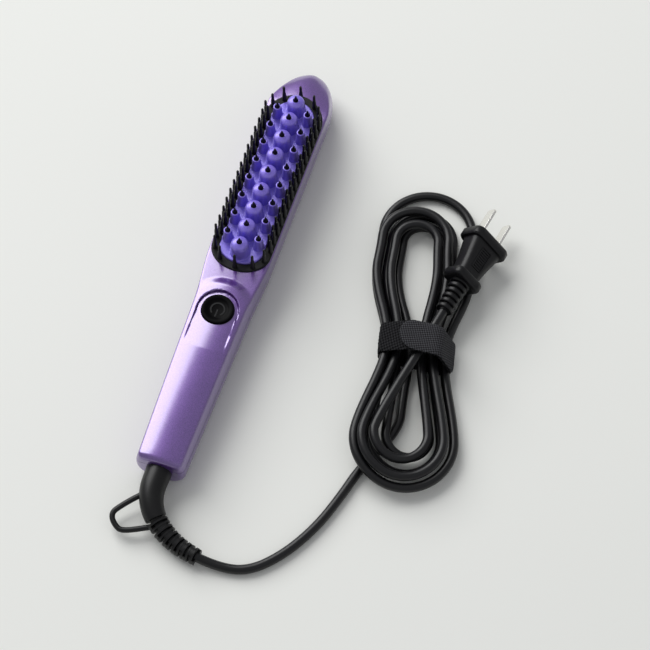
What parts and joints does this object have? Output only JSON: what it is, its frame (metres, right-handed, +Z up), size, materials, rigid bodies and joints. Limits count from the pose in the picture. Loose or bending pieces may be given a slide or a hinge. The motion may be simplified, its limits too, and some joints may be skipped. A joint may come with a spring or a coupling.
{
  "type": "hair straightening brush",
  "caption": "Lilac electric hair straightening brush: heated violet posts and black bristles on the head, a round button, a swivel cord boot with a hang loop, a tied cord and a two-pin plug.",
  "frame": {"origin": "under the middle of the brush body, on the surface it lies on; the cord, its boot and plug left out", "axes": "+Y along the brush from the cord end to the tip of the head, +Z up through the bristles, +X to the right seen from above with the head ahead"},
  "size_m": [0.1583, 0.2909, 0.0392],
  "materials": {
    "shell": "metallic lilac paint",
    "black_plastic": "matte black",
    "plate": "anodised blue-violet, satin",
    "bristle": "matte black, heat resistant",
    "button": "gloss black",
    "ceramic": "fired white ceramic",
    "pad": "woven mica and glass",
    "steel": "plated steel",
    "silicone": "white silicone",
    "component": "moulded black",
    "lamp": "clear",
    "capacitor": "yellow film case",
    "board": "green solder mask",
    "brass": "bare brass",
    "wire": "silicone insulation",
    "cord_rubber": "charcoal PVC, satin",
    "plug_rubber": "charcoal PVC, moulded",
    "strap": "woven hook-and-loop strap",
    "nickel": "bright nickel"
  },
  "bodies": {
    "cord_set": {"cord_boot": "cord_rubber", "hang_loop": "cord_rubber", "swivel_rings": "brass", "cord_lead": "cord_rubber", "cord_hank": "cord_rubber", "hank_tie": "strap", "plug_body": "plug_rubber", "plug_blades": "nickel"},
    "brush": {"top_cover": "shell", "back_cover": "shell", "bristle_frame": "black_plastic", "heater_plate": "plate", "ceramic_heater": "ceramic", "insulation_pad": "pad", "heater_clamp": "steel", "clamp_screws": "steel", "plate_spacers": "silicone", "thermal_fuse": "steel", "thermistor": "component", "centre_heat_posts": "plate", "side_heat_posts": "plate", "centre_post_tips": "black_plastic", "side_post_tips": "black_plastic", "left_outer_bristles": "bristle", "left_inner_bristles": "bristle", "right_outer_bristles": "bristle", "right_inner_bristles": "bristle", "end_bristles": "bristle", "control_board": "board", "board_screws": "steel", "tact_switch": "component", "indicator_led": "lamp", "power_triac": "component", "filter_capacitor": "capacitor", "board_fuse": "lamp", "lead_terminal": "component", "cover_screws": "steel", "swivel_contacts": "brass", "mains_leads": "wire", "heater_leads": "wire", "sensor_leads": "wire"},
    "button": {"power_button": "button", "switch_plunger": "component"}
  },
  "joints": [
    {"name": "cord_swivel", "type": "hinge", "parent": "cord_set", "child": "brush", "pos_m": [0, -0.12, 0.0108], "axis": [0, 1, 0], "continuous": true},
    {"name": "button_press", "type": "slide", "parent": "brush", "child": "button", "axis": [0, 0, -1], "range_m": [0, 0.0006], "stiffness_N_per_m": 2500, "springref_m": -0.0003}
  ]
}
